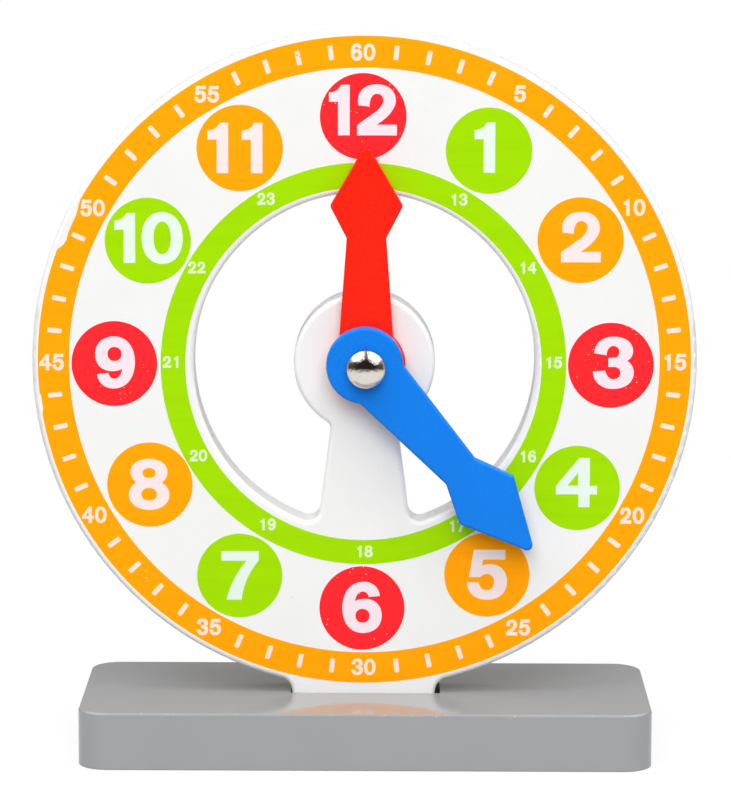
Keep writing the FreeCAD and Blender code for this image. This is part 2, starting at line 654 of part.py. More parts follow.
bodies = [item for item in doc.Objects if item.TypeId == "PartDesign::Body"]
for item in doc.Objects:
    if "Invalid" in item.State or "Error" in item.State:
        raise ValueError(f"{item.Name} did not compute: {item.State}")
    if item.TypeId == "Sketcher::SketchObject" and not item.FullyConstrained:
        raise ValueError(f"{item.Name} has a loose size")
for body in bodies:
    if body.Shape.isNull() or not body.Shape.isValid() or len(body.Shape.Solids) != 1:
        raise ValueError(f"{body.Label} is not one sound solid")

os.makedirs("parts", exist_ok=True)
for body in bodies:
    body.Shape.exportStep(f"parts/{body.Label}.step")
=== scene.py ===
"""Dresses a free-standing teaching clock: inks, paints, plated bolt and a plain studio.

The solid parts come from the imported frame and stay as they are. Everything here is in
metres in the frame's own axes: X to the right, Y away from the viewer, Z up.
"""

import json
import math

import bmesh
import bpy
import numpy as np
from bpy.props import FloatProperty, FloatVectorProperty, PointerProperty
from mathutils import Matrix, Vector
from mathutils.geometry import tessellate_polygon


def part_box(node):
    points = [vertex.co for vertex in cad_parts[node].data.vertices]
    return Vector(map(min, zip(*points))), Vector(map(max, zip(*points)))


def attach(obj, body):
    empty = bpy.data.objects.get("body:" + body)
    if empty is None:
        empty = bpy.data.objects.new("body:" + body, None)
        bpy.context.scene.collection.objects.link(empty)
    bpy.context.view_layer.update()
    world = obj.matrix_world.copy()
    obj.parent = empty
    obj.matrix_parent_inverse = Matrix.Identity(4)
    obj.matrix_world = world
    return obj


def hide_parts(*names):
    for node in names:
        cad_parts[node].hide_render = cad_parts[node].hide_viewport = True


bl_info = {
    "name": "Teaching Clock",
    "version": (1, 0, 0),
    "blender": (4, 5, 0),
    "location": "View3D > Sidebar > Clock",
    "description": "Prints, paints, plated bolt and studio for a free-standing teaching clock",
    "category": "Object",
}

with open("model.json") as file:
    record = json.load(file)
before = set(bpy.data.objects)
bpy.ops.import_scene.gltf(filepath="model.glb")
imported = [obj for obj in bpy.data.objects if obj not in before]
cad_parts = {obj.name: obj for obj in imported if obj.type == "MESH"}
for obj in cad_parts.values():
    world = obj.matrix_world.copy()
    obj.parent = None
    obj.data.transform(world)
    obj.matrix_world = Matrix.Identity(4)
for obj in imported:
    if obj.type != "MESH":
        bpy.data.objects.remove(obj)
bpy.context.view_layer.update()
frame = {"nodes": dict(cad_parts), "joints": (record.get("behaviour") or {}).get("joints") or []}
NODES = frame["nodes"]
PIVOT = {joint["child"]: joint["pos_m"] for joint in frame["joints"] if "pos_m" in joint}

MM = 0.001
DIAL_X = 0.0
DIAL_Z = PIVOT["hour_hand"][2]
DIAL_FRONT = round(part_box("dial")[0].y, 6)
BOLT_X = PIVOT["hour_hand"][0]
SUNK = 0.01 * MM  # how far a film's back lies in what carries it
SHOULDER = 0.67  # how far up its thickness the side of a film is straight


# ---- what a user would change

def setting(kind, scale=None, **fixed):
    """A maker of settings of one kind: name, what it is, and its value to start with."""
    def make(name, description, default):
        return kind(name=name, description=description,
                    default=scale(default) if scale else default, **fixed)
    return make


def metres(size):
    """Millimetres, one number or several, in metres."""
    return tuple(part * MM for part in size) if isinstance(size, tuple) else size * MM


length = setting(FloatProperty, metres, min=0.0, precision=5, unit="LENGTH",
                 subtype="DISTANCE")
share = setting(FloatProperty, min=0.0, max=1.0, subtype="FACTOR")
turn_angle = setting(FloatProperty, math.radians, precision=5, unit="ROTATION",
                     subtype="ANGLE")
power = setting(FloatProperty, min=0.0, unit="POWER")
amount = setting(FloatProperty, min=0.0)
lens = setting(FloatProperty, min=1.0, unit="CAMERA")
colour = setting(FloatVectorProperty, size=3, min=0.0, max=1.0, subtype="COLOR")
shift, place = (setting(FloatVectorProperty, metres, size=size, precision=5,
                        unit="LENGTH", subtype="XYZ") for size in (2, 3))


class ClockPrint(bpy.types.PropertyGroup):
    """Sizes of the print on the dial, and how far each ink sits from the dial's middle"""

    minute_band_outer: length("Minute band outside", "Outer radius of the minute band", 108.0)
    minute_band_inner: length("Minute band inside", "Inner radius of the minute band", 97.64)
    day_band_outer: length("24-hour band outside", "Outer radius of the 24-hour band", 67.06)
    day_band_inner: length("24-hour band inside", "Inner radius of the 24-hour band", 58.9)
    disc_circle: length("Disc circle", "Radius on which the hour discs stand", 82.1)
    disc_radius: length("Disc radius", "Radius of an hour disc", 14.2)
    tick_middle: length("Tick middle", "Radius of the middle of a minute tick", 102.83)
    tick_length: length("Tick length", "Length of a minute tick", 4.7)
    tick_width: length("Tick width", "Width of a minute tick", 1.62)
    minute_circle: length("Minute figures", "Radius on which the minute figures stand", 102.8)
    day_circle: length("24-hour figures", "Radius on which the figures 13 to 24 stand", 63.0)
    ink: length("Ink thickness", "Thickness of one layer of ink", 0.03)
    ink_edge: length("Ink edge", "Width of the rounded edge of a layer of ink", 0.03)
    orange_shift: shift("Orange shift", "Where the orange ink landed", (-0.05, 0.05))
    green_shift: shift("Green shift", "Where the green ink landed", (-0.33, -0.55))
    red_shift: shift("Red shift", "Where the red ink landed", (-0.6, -0.42))


class ClockFinish(bpy.types.PropertyGroup):
    """Colours and gloss of the paints, inks and metals"""

    board_grey: colour("Base", "Lacquer on the base", (0.284, 0.292, 0.302))
    board_white: colour("Dial", "Lacquer on the dial", (0.78, 0.78, 0.77))
    hour_red: colour("Hour hand", "Paint on the hour hand", (0.92, 0.0145, 0.004))
    minute_blue: colour("Minute hand", "Paint on the minute hand", (0.003, 0.181, 0.71))
    ink_orange: colour("Orange ink", "Minute band and a third of the hour discs",
                       (1.0, 0.342, 0.002))
    ink_green: colour("Green ink", "24-hour band and a third of the hour discs",
                      (0.32, 0.655, 0.001))
    ink_red: colour("Red ink", "A third of the hour discs", (0.95, 0.022, 0.029))
    ink_white: colour("White ink", "Figures and ticks", (0.87, 0.79, 0.79))
    nickel: colour("Nickel", "Plating on the bolt", (0.73, 0.68, 0.63))
    zinc: colour("Zinc", "Plating on the washers and the nut", (0.6, 0.6, 0.6))
    nylon: colour("Nylon", "Front washers and the nut's insert", (0.82, 0.81, 0.78))
    base_roughness: share("Base roughness", "0 is a mirror, 1 is chalk", 0.1)
    dial_roughness: share("Dial roughness", "0 is a mirror, 1 is chalk", 0.3)
    hand_roughness: share("Hand roughness", "0 is a mirror, 1 is chalk", 0.26)
    ink_roughness: share("Ink roughness", "0 is a mirror, 1 is chalk", 0.38)
    hand_gloss: share("Hand gloss", "The hands' share of mirror-like light", 0.15)
    ink_gloss: share("Ink gloss", "The inks' share of mirror-like light", 0.05)


class ClockStudio(bpy.types.PropertyGroup):
    """Camera, lamps and floor"""

    camera_place: place("Camera", "Where the camera stands", (7.79, -1317.44, 317.07))
    camera_yaw: turn_angle("Yaw", "Turn of the camera to the right", -0.3233)
    camera_pitch: turn_angle("Pitch", "Tilt of the camera upwards", -8.6355)
    camera_roll: turn_angle("Roll", "Lean of the camera to the left", 0.1579)
    camera_lens: lens("Lens", "Focal length on a 36 mm frame", 180.0)
    box_distance: length("Softbox distance", "From the clock to each softbox", 1200.0)
    box_length: length("Softbox length", "Front to back", 1700.0)
    box_width: length("Softbox width", "Low edge to high edge", 1100.0)
    box_power: power("Softbox power", "Each of the two large softboxes", 8.8)
    high_power: power("High lamp power", "Each of the two lamps high in front", 84.0)
    fill_power: power("Front fill power", "The fill in front", 181.0)
    sky: amount("Sky", "Brightness of the room's own light", 0.06)


# ---- meshes

def add_object(name, data):
    """Puts an object with that data in the scene."""
    made = bpy.data.objects.new(name, data)
    bpy.context.scene.collection.objects.link(made)
    return made


def add_piece(name, points, faces, material, smooth=False):
    """Makes an object at the origin from whole arrays of points and of faces.

    faces is a list of arrays, one array for each number of corners.
    """
    mesh = bpy.data.meshes.new(name)
    loops = np.concatenate([f.ravel() for f in faces]).astype(np.int32)
    sizes = np.concatenate([np.full(len(f), f.shape[1], np.int32) for f in faces])
    mesh.vertices.add(len(points))
    mesh.vertices.foreach_set("co", np.asarray(points, np.float32).ravel())
    mesh.loops.add(len(loops))
    mesh.loops.foreach_set("vertex_index", loops)
    mesh.polygons.add(len(sizes))
    mesh.polygons.foreach_set("loop_start", np.cumsum(sizes, dtype=np.int32) - sizes)
    mesh.update(calc_edges=True)
    if mesh.validate():
        raise RuntimeError(f"{name}: the mesh needed mending")
    mesh.polygons.foreach_set("use_smooth", np.full(len(sizes), smooth))
    mesh.materials.append(material)
    return add_object(name, mesh)


def check_closed(piece):
    """Raises unless every edge joins two faces and the volume is positive."""
    shell = bmesh.new()
    shell.from_mesh(piece.data)
    bmesh.ops.triangulate(shell, faces=shell.faces)
    loose = [edge for edge in shell.edges if len(edge.link_faces) != 2]
    volume = shell.calc_volume(signed=True)
    shell.free()
    if loose or volume <= 0:
        raise RuntimeError(f"{piece.name}: {len(loose)} open edges, volume {volume:.3g}")


def ring_faces(count, rows, first=0):
    """Quads between neighbouring rows of a grid whose rows are closed rings.

    Row r, column c joins row r + 1 and column c + 1, counted round.
    """
    here = np.arange(rows - 1)[:, None] * count
    there = here + count
    column = np.arange(count)[None, :]
    after = (column + 1) % count
    quads = np.stack([here + column, there + column, there + after, here + after], -1)
    return quads.reshape(-1, 4) + first


def edge_normals(loop):
    """Unit vector at each corner of a closed outline, at right angles to the line
    through its two neighbours, and to the right of the way round."""
    along = np.roll(loop, -1, 0) - np.roll(loop, 1, 0)
    out = np.stack([along[:, 1], -along[:, 0]], -1)
    return out / np.linalg.norm(out, axis=1, keepdims=True)


def signed_area(loop):
    """The area inside a closed outline, negative where it runs clockwise."""
    after = np.roll(loop, -1, 0)
    return 0.5 * np.sum(loop[:, 0] * after[:, 1] - after[:, 0] * loop[:, 1])


def cap_triangles(loops):
    """Fills an outline and its holes, counter-clockwise as the viewer sees them."""
    corners = np.concatenate(loops)
    found = tessellate_polygon([[Vector((x, z, 0.0)) for x, z in loop] for loop in loops])
    triangles = np.array(found, int)
    a, b, c = (corners[triangles[:, k]] for k in range(3))
    area = (b[:, 0] - a[:, 0]) * (c[:, 1] - a[:, 1]) - (c[:, 0] - a[:, 0]) * (b[:, 1] - a[:, 1])
    triangles[area < 0] = triangles[area < 0][:, ::-1]
    return triangles


def add_film(name, shapes, back, thickness, edge, material, body="dial"):
    """A layer of ink in the given flat shapes.

    Each shape is an outline followed by its holes, as (x, z) arrays. The film's section
    is carried along every outline: up from the back, a shoulder two thirds up, and in by
    the edge's width to the front. The front and the back are filled flat.
    """
    points, quads, triangles, used = [], [], [], 0
    for shape in shapes:
        loops = [loop if (signed_area(loop) > 0) == (k == 0) else loop[::-1]
                 for k, loop in enumerate(shape)]
        flat = np.concatenate(loops)
        inset = flat - edge * np.concatenate([edge_normals(loop) for loop in loops])
        total = len(flat)
        for ring, y in ((inset, back - thickness), (flat, back - SHOULDER * thickness),
                        (flat, back + SUNK)):
            points.append(np.stack([ring[:, 0], np.full(total, y), ring[:, 1]], -1))
        first = used
        for loop in loops:
            here = np.arange(len(loop))
            after = np.roll(here, -1)
            for row in (0, 1):
                near, far = first + row * total, first + (row + 1) * total
                quads.append(np.stack([near + here, far + here, far + after, near + after], -1))
            first += len(loop)
        fill = cap_triangles(loops)
        triangles += [used + fill, used + 2 * total + fill[:, ::-1]]
        used += 3 * total
    piece = add_piece(name, np.concatenate(points),
                      [np.concatenate(quads), np.concatenate(triangles)], material)
    check_closed(piece)
    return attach(piece, body)


# ---- flat shapes of the print

def clock_point(radius, angle, about=(0.0, 0.0)):
    """The point at that radius, angle in degrees clockwise from the top, on the dial."""
    angle = np.radians(angle)
    return np.array([DIAL_X + about[0] + radius * np.sin(angle),
                     DIAL_Z + about[1] + radius * np.cos(angle)])


def round_outline(centre, radius, count=192):
    """A circle: centre plus radius times the cosine and the sine of the angle."""
    t = np.linspace(0, 2 * np.pi, count, endpoint=False)
    return np.stack([centre[0] + radius * np.cos(t), centre[1] + radius * np.sin(t)], -1)


def worn_circle(centre, radius, angles, depths, count=1440):
    """A circle whose radius drops by the depth read off the given clock angles, with
    straight runs between them."""
    clock = np.linspace(0, 360, count, endpoint=False)
    short = radius - np.interp(clock, angles, depths) * MM
    t = np.radians(clock)
    return np.stack([centre[0] + short * np.sin(t), centre[1] + short * np.cos(t)], -1)


def tick_outline(middle, angle, half_width, half_length, count=28):
    """A bar with soft corners: a superellipse of power 7, its long side along the radius.

    Along each axis it is the half size times the cosine or sine to the power 2/7.
    """
    t = np.linspace(0, 2 * np.pi, count, endpoint=False) + np.pi / count
    across = half_width * np.sign(np.cos(t)) * np.abs(np.cos(t)) ** (2 / 7)
    along = half_length * np.sign(np.sin(t)) * np.abs(np.sin(t)) ** (2 / 7)
    a = math.radians(angle)
    return np.stack([middle[0] + across * math.cos(a) + along * math.sin(a),
                     middle[1] - across * math.sin(a) + along * math.cos(a)], -1)


def blot_outline(centre, radius, seed, count=20):
    """A small ragged spot: the radius times one plus two slow waves round it."""
    t = np.linspace(0, 2 * np.pi, count, endpoint=False)
    ragged = radius * (1 + 0.22 * np.sin(2 * t + seed) + 0.16 * np.sin(3 * t + 2.1 * seed))
    return round_outline(centre, ragged, count)


def oval(middle, start, right, level, end, left):
    """An oval of four curves, from the middle of its top or bottom round by the right."""
    return ((middle, start), (right, start, right, level), (right, end, middle, end),
            (left, end, left, level), (left, start, middle, start))


# Outlines of the figures in millimetres, drawn 16.6 tall on a baseline. A pair is a
# straight run to that point; four numbers are a curve to the last two by way of the
# corner named first. The nine is the six turned half round.
FIGURES = {
    "0": (oval(0.0, 17.05, 6.8, 8.5, -0.15, -6.8), oval(0.0, 3.1, 2.85, 8.4, 13.85, -2.85)),
    "1": (((2.05, 0.0), (2.05, 16.55), (-0.75, 16.55), (-1.6, 14.1, -4.75, 14.0),
           (-4.75, 11.0), (-1.75, 11.0), (-1.75, 0.0)),),
    "2": (((-6.05, 0.0), (7.0, 0.0), (7.0, 3.5), (0.3, 3.5), (6.6, 7.3, 6.6, 11.3),
           (6.6, 16.75, 0.5, 16.75), (-5.75, 16.75, -5.75, 11.5), (-5.65, 9.9),
           (-2.0, 9.4), (-2.05, 13.65, 0.35, 13.65), (2.55, 13.65, 2.55, 11.5),
           (2.5, 9.7, 0.2, 7.85), (-6.05, 3.35)),),
    "3": (((-5.75, 11.75), (-1.7, 11.1), (-1.6, 14.2, 0.5, 14.2), (2.55, 14.2, 2.55, 12.2),
           (2.55, 10.3, 0.9, 10.3), (-1.05, 10.25), (-1.05, 7.2), (0.9, 7.2),
           (2.95, 7.2, 2.95, 5.25), (2.95, 3.1, 0.6, 3.1), (-1.5, 3.1, -2.1, 6.0),
           (-6.15, 5.65), (-5.9, -0.15, 0.5, -0.15), (7.35, -0.15, 7.35, 5.25),
           (7.35, 8.3, 5.0, 9.2), (7.05, 10.1, 7.05, 12.5), (7.05, 17.3, 0.6, 17.3),
           (-5.6, 17.3, -5.75, 11.75)),),
    "4": (((0.5, 0.0), (4.2, 0.0), (4.2, 4.3), (6.65, 4.3), (6.65, 7.2), (4.2, 7.2),
           (4.2, 16.6), (0.75, 16.6), (-6.95, 7.2), (-6.95, 4.3), (0.5, 4.3)),
          ((0.35, 11.6), (0.35, 7.25), (-3.1, 7.25))),
    "5": (((-4.05, 16.85), (6.45, 16.85), (6.45, 13.5), (-0.95, 13.5), (-1.3, 11.4),
           (-0.2, 11.95, 1.4, 11.95), (7.05, 11.95, 7.05, 6.0), (7.05, -0.15, 0.4, -0.15),
           (-6.2, -0.15, -6.3, 5.75), (-2.4, 5.8), (-2.0, 3.1, 0.3, 3.1),
           (2.75, 3.1, 2.75, 6.0), (2.75, 8.65, 0.3, 8.65), (-0.9, 8.65, -1.9, 7.55),
           (-5.65, 7.55)),),
    "6": (((5.75, 12.4), (5.3, 17.2, 0.4, 17.2), (-6.75, 17.2, -6.75, 8.2),
           (-6.75, -0.2, 0.1, -0.2), (6.4, -0.2, 6.4, 5.7), (6.4, 11.4, 0.9, 11.4),
           (-1.2, 11.4, -2.5, 10.6), (-2.2, 13.9, 0.1, 13.9), (1.8, 13.9, 2.05, 12.05)),
          oval(0.0, 3.3, 2.35, 5.65, 8.0, -2.35)),
    "7": (((-6.0, 16.5), (6.4, 16.5), (6.4, 13.3), (1.3, 7.6, 0.7, 0.0), (-4.3, 0.0),
           (-2.9, 7.2, 2.35, 13.25), (-6.0, 13.25)),),
    "8": (((0.05, 17.05), (6.15, 17.05, 6.15, 12.55), (6.15, 10.2, 4.2, 9.0),
           (6.8, 7.8, 6.8, 5.1), (6.8, -0.15, 0.05, -0.15), (-6.7, -0.15, -6.7, 5.1),
           (-6.7, 7.8, -4.1, 9.0), (-6.05, 10.2, -6.05, 12.55), (-6.05, 17.05, 0.05, 17.05)),
          oval(0.05, 10.6, 2.2, 12.3, 13.95, -2.1), oval(0.05, 3.0, 2.65, 5.1, 7.25, -2.55)),
}
FIGURE_TALL = 16.6
ROUNDNESS = 0.6  # how far along the way to its corner each handle of a curve lies


def figure_contour(runs, steps):
    """One closed outline of a figure, from its runs.

    A curve is a cubic whose two handles lie on the way to the named corner, the same
    share of the way from each end.
    """
    t = np.linspace(0, 1, steps + 1)[1:, None]
    parts, last = [np.array([runs[0]])], np.array(runs[0])
    for run in runs[1:]:
        end = np.array(run[-2:])
        if len(run) == 4:
            corner = np.array(run[:2])
            a, b = last + ROUNDNESS * (corner - last), end + ROUNDNESS * (corner - end)
            parts.append((1 - t) ** 3 * last + 3 * (1 - t) ** 2 * t * a
                         + 3 * (1 - t) * t * t * b + t ** 3 * end)
        else:
            parts.append(end[None])
        last = end
    loop = np.concatenate(parts)
    return loop[np.linalg.norm(loop - np.roll(loop, 1, 0), axis=1) > 1e-6]


def figure_outlines(figure, steps=12):
    """All outlines of one figure, in millimetres about its middle and baseline."""
    if figure == "9":
        return [np.array([-0.15, 17.05]) - loop for loop in figure_outlines("6", steps)]
    return [figure_contour(runs, steps) for runs in FIGURES[figure]]


def label_ring(table, circle, lettering, about=(0.0, 0.0)):
    """The outlines of twelve small labels, one every 30 degrees.

    Each figure is centred by its own box in a cell, and the label's middle is as far off
    the circle as the table says. lettering is the figures' height and width against
    those above, and a cell's width in millimetres.
    """
    tall, wide, advance = lettering
    shapes = []
    for hour, (text, right, up) in enumerate(table):
        middle = clock_point(circle, 30 * hour, about) + np.array([right, up]) * MM
        for k, figure in enumerate(text):
            loops = figure_outlines(figure, steps=6)
            low, high = loops[0].min(0), loops[0].max(0)
            cell = (k - (len(text) - 1) / 2) * advance
            shapes.append([np.stack([
                middle[0] + (cell + (loop[:, 0] - (low[0] + high[0]) / 2) * wide) * MM,
                middle[1] + (loop[:, 1] - FIGURE_TALL / 2) * tall * MM], -1) for loop in loops])
    return shapes


# ---- materials

def join(tree, socket, value):
    """Sets an input to a value, or joins it to another node's output."""
    if isinstance(value, bpy.types.NodeSocket):
        tree.links.new(value, socket)
    else:
        socket.default_value = (*value, 1.0) if socket.type == "RGBA" else value


def add_node(tree, kind, **settings):
    """A node with its settings: its own properties by name, and its inputs by name with
    a low line for each space."""
    node = tree.nodes.new(kind)
    for key, value in settings.items():
        if hasattr(node, key):
            setattr(node, key, value)
        else:
            join(tree, node.inputs[key.replace("_", " ")], value)
    return node


def maths(tree, operation, *values):
    """The result of one step of arithmetic on values and sockets."""
    node = add_node(tree, "ShaderNodeMath", operation=operation)
    for socket, value in zip(node.inputs, values):
        join(tree, socket, value)
    return node.outputs[0]


def ranged(tree, value, low, high, start=0.0, end=1.0):
    """Maps a socket's values from start..end to low..high."""
    return add_node(tree, "ShaderNodeMapRange", clamp=True, Value=value, From_Min=start,
                    From_Max=end, To_Min=low, To_Max=high).outputs["Result"]


def blend_colours(tree, factor, low, high):
    """Mixes two colours, each a constant or a socket, by a socket."""
    mix = add_node(tree, "ShaderNodeMix", data_type="RGBA", Factor=factor)
    join(tree, mix.inputs[6], low)
    join(tree, mix.inputs[7], high)
    return mix.outputs[2]


def tint(rgb, by):
    """The colour with its three parts multiplied, by one number or by one each."""
    by = by if isinstance(by, tuple) else (by,) * 3
    return tuple(min(1.0, a * b) for a, b in zip(rgb, by))


def noise(tree, where, scale, detail, roughness=0.5):
    """A smooth noise about 0.5, with scale waves to the metre."""
    return add_node(tree, "ShaderNodeTexNoise", Vector=where, Scale=scale, Detail=detail,
                    Roughness=roughness).outputs["Fac"]


def spots(tree, where, scale, reach):
    """Mask of round spots: 1 where the nearest of many scattered points is in reach."""
    cells = add_node(tree, "ShaderNodeTexVoronoi", Vector=where, Scale=scale, Randomness=1.0)
    return maths(tree, "LESS_THAN", cells.outputs["Distance"], reach)


def shared_group(name, setting, default, outputs, build):
    """A node group, made once and then shared.

    It takes a place and one number; build makes its nodes and returns a socket for each
    of the named outputs.
    """
    group = bpy.data.node_groups.get(name)
    if group:
        return group
    group = bpy.data.node_groups.new(name, "ShaderNodeTree")
    sockets = group.interface
    sockets.new_socket("Vector", in_out="INPUT", socket_type="NodeSocketVector")
    number = sockets.new_socket(setting, in_out="INPUT", socket_type="NodeSocketFloat")
    number.default_value = default
    for output in outputs:
        sockets.new_socket(output, in_out="OUTPUT", socket_type="NodeSocketFloat")
    given = add_node(group, "NodeGroupInput").outputs
    found = build(group, given["Vector"], given[setting])
    add_node(group, "NodeGroupOutput", **dict(zip(outputs, found)))
    return group


def sprayed_film():
    """Lacquer off a spray gun: slow clouds in its tone, and the dimples of orange peel.

    Clouds is 0 to 1 over some 20 mm; Dimples is the height of the peel, a broad and a
    fine noise added; Dust is a mask of rare small specks.
    """
    def build(group, where, peel):
        broad = noise(group, where, peel, 2.0)
        fine = noise(group, where, maths(group, "MULTIPLY", peel, 4.3), 2.0, 0.6)
        reach = ranged(group, noise(group, where, 61.0, 1.0), 0.0, 0.075, 0.62, 0.8)
        return (noise(group, where, 48.0, 4.0, 0.55),
                maths(group, "MULTIPLY_ADD", fine, 0.22, broad),
                spots(group, where, 210.0, reach))

    return shared_group("Sprayed film", "Peel", 520.0, ("Clouds", "Dimples", "Dust"), build)


def screened_ink():
    """Ink pressed through a mesh: faint strokes of the squeegee, the mesh's own marks and
    pinholes where the board shows.

    Strokes is a noise drawn out sideways; Mesh is two crossed fine waves multiplied;
    Pinholes is a mask of very small specks, fewer as Clean goes up.
    """
    def build(group, where, clean):
        pull = add_node(group, "ShaderNodeMapping", Vector=where, Scale=(0.12, 1.0, 1.0))
        waves = [add_node(group, "ShaderNodeTexWave", bands_direction=way, Vector=where,
                          Scale=420.0, Distortion=0.6, Detail=1.0).outputs["Fac"]
                 for way in "XZ"]
        reach = ranged(group, noise(group, where, 90.0, 2.0), 0.0, 0.09,
                       clean, maths(group, "ADD", clean, 0.14))
        return (noise(group, pull.outputs["Vector"], 230.0, 3.0, 0.6),
                maths(group, "MULTIPLY", *waves), spots(group, where, 640.0, reach))

    return shared_group("Screened ink", "Clean", 0.64, ("Strokes", "Mesh", "Pinholes"), build)


def bare_tree(owner):
    """The node tree of a material or of the sky, emptied."""
    owner.use_nodes = True
    owner.node_tree.nodes.clear()
    return owner.node_tree


def start_material(name):
    """A new material, its node tree, and the piece's own coordinates."""
    material = bpy.data.materials.new(name)
    tree = bare_tree(material)
    return material, tree, add_node(tree, "ShaderNodeTexCoord").outputs["Object"]


def finish_material(material, height, microns, **inputs):
    """Adds the shader with its inputs, and roughens it by the height, which is in
    thousandths of a millimetre."""
    tree = material.node_tree
    relief = add_node(tree, "ShaderNodeBump", Distance=microns * MM / 1000, Height=height)
    shader = add_node(tree, "ShaderNodeBsdfPrincipled", Normal=relief.outputs["Normal"],
                      **inputs)
    add_node(tree, "ShaderNodeOutputMaterial", Surface=shader.outputs["BSDF"])
    return material


def painted_edge_highlight(tree, where):
    """Mask of a painted highlight, broken into specks, on the base's long front top edge:
    near the edge's height, times near its depth, times a noise."""
    low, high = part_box("base")
    parts = add_node(tree, "ShaderNodeSeparateXYZ", Vector=where)
    near_top = ranged(tree, parts.outputs["Z"], 0.0, 1.0, high.z - 1.7 * MM, high.z - 0.9 * MM)
    near_front = ranged(tree, parts.outputs["Y"], 1.0, 0.0, low.y + 0.9 * MM, low.y + 1.7 * MM)
    # the noise breaks the painted highlight on the edge into specks
    highlight_specks = ranged(tree, noise(tree, where, 900.0, 3.0, 0.7), 0.0, 1.0, 0.66, 0.7)
    return maths(tree, "MULTIPLY", maths(tree, "MULTIPLY", near_top, near_front), highlight_specks)


def lacquer(name, rgb, roughness, peel, microns, tone=0.03, dust=None, gloss=0.5, edge_highlight=None):
    """Sprayed paint over board; gloss is its share of mirror-like light. dust is the colour
    of its specks, and the last argument the colour of a painted highlight in specks along
    the base's front top edge."""
    material, tree, where = start_material(name)
    film = add_node(tree, "ShaderNodeGroup", node_tree=sprayed_film(), Vector=where,
                    Peel=peel).outputs
    cloud = ranged(tree, film["Clouds"], 0.0, 1.0, 0.3, 0.7)
    mixed = blend_colours(tree, cloud, tint(rgb, 1 - tone), tint(rgb, 1 + tone))
    if dust:
        mixed = blend_colours(tree, film["Dust"], mixed, dust)
    if edge_highlight:
        # painted highlight: a lighter colour in specks on the base's front top edge
        mixed = blend_colours(tree, painted_edge_highlight(tree, where), mixed, edge_highlight)
    return finish_material(
        material, film["Dimples"], microns, Base_Color=mixed, Specular_IOR_Level=gloss,
        Roughness=ranged(tree, film["Dimples"], roughness - 0.04, roughness + 0.05, 0.35, 0.85))


def ink(finish, name, rgb, under, tone=0.03, clean=0.64):
    """Printed ink; under is the colour that shows in its pinholes."""
    material, tree, where = start_material(name)
    marks = add_node(tree, "ShaderNodeGroup", node_tree=screened_ink(), Vector=where,
                     Clean=clean).outputs
    strokes = ranged(tree, marks["Strokes"], 0.0, 1.0, 0.3, 0.7)
    mixed = blend_colours(tree, strokes, tint(rgb, 1 - tone), tint(rgb, 1 + tone))
    roughness = finish.ink_roughness
    return finish_material(
        material, marks["Mesh"], microns=1.2, Specular_IOR_Level=finish.ink_gloss,
        Base_Color=blend_colours(tree, marks["Pinholes"], mixed, under),
        Roughness=ranged(tree, strokes, roughness - 0.04, roughness + 0.05))


def plated(name, rgb, roughness, wobble, microns, scratches):
    """Plated steel: a soft unevenness, and short scratches that show in the roughness."""
    material, tree, where = start_material(name)
    uneven = noise(tree, where, wobble, 3.0, 0.55)
    stretch = add_node(tree, "ShaderNodeMapping", Vector=where, Scale=(1.0, 0.2, 0.35),
                       Rotation=(0.4, 0.9, 0.2))
    lines = noise(tree, stretch.outputs["Vector"], 5200.0, 2.0, 0.7)
    tone = ranged(tree, uneven, 0.0, 1.0, 0.3, 0.7)
    return finish_material(
        material, uneven, microns, Metallic=1.0,
        Base_Color=blend_colours(tree, tone, tint(rgb, 0.95), tint(rgb, 1.04)),
        Roughness=ranged(tree, lines, roughness, roughness + scratches, 0.5, 0.75))


def dress(node, material):
    """Gives a CAD node its finish, in the slot that it came with."""
    NODES[node].data.materials[0] = material


# ---- operators

class CLOCK_OT_base(bpy.types.Operator):
    """Lacquer the base board"""

    bl_idname = "clock.base"
    bl_label = "Base"

    def execute(self, context):
        finish = context.scene.clock_finish
        # the light grey is a painted highlight in specks along the base's front top edge
        dress("base", lacquer("grey_lacquer_sprayed", finish.board_grey,
                              finish.base_roughness, peel=430.0, microns=7.0, tone=0.022,
                              gloss=0.7, edge_highlight=(0.62, 0.62, 0.61)))
        return {"FINISHED"}


class CLOCK_OT_dial(bpy.types.Operator):
    """Lacquer the dial board"""

    bl_idname = "clock.dial"
    bl_label = "Dial board"

    def execute(self, context):
        finish = context.scene.clock_finish
        dress("dial", lacquer("white_lacquer_sprayed", finish.board_white,
                              finish.dial_roughness, peel=520.0, microns=6.0, tone=0.012,
                              dust=(0.62, 0.6, 0.57), gloss=0.22))
        return {"FINISHED"}


class CLOCK_OT_hands(bpy.types.Operator):
    """Paint the hour hand and the minute hand"""

    bl_idname = "clock.hands"
    bl_label = "Hands"

    def execute(self, context):
        finish = context.scene.clock_finish
        for hand, name, rgb, tone in (
                ("hour_hand", "red_paint", finish.hour_red, 0.03),
                ("minute_hand", "blue_paint", finish.minute_blue, 0.04)):
            dress(hand, lacquer(name, rgb, finish.hand_roughness, peel=760.0, microns=4.0,
                                tone=tone, gloss=finish.hand_gloss))
        return {"FINISHED"}


# Where the minute band's outer edge is worn: clock angles, and the millimetres lost.
WORN_ANGLES = (0, 260.8, 261.6, 263.8, 264.6, 290.3, 291.4, 292.3, 294.0, 297.2, 300.0, 360)
WORN_DEPTHS = (0, 0, 0.5, 0.45, 0, 0, 1.35, 1.7, 1.35, 1.25, 0, 0)


